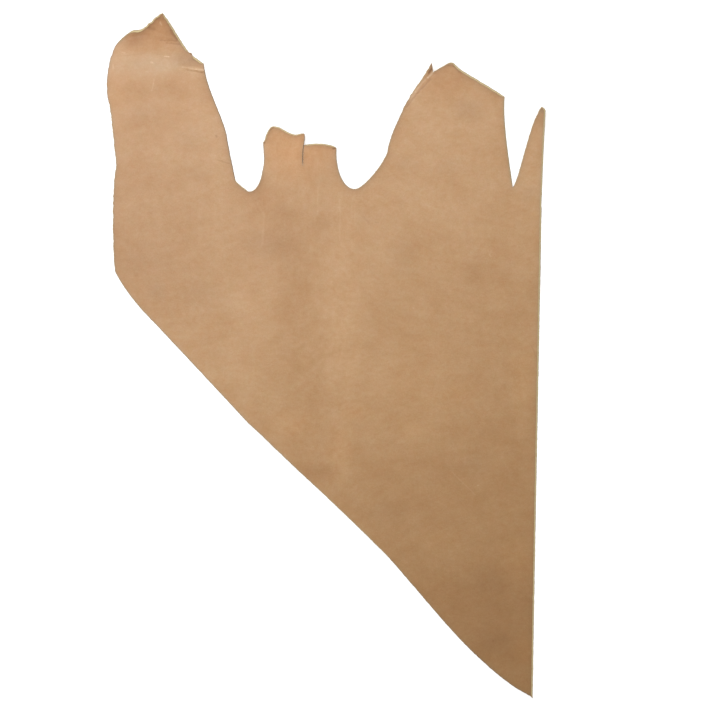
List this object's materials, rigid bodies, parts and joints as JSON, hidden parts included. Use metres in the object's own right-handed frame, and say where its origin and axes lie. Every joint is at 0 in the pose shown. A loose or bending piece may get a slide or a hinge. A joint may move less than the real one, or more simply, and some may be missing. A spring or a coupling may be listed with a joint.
{
  "type": "leather shoulder",
  "caption": "Whole shoulder of undyed vegetable-tanned leather, a stiff flat sheet with a straight edge, a slanting cut and leg notches at the neck.",
  "frame": {"origin": "middle of the hide's box, on the surface that it lies on", "axes": "+Z out of the grain side, +Y up the hide towards the neck and lobes, +X towards the straight cut edge"},
  "size_m": [0.7775, 1.214, 0.0215],
  "materials": {
    "natural_leather": "satin, undyed grain"
  },
  "bodies": {
    "root": {"hide": "natural_leather"}
  },
  "joints": []
}
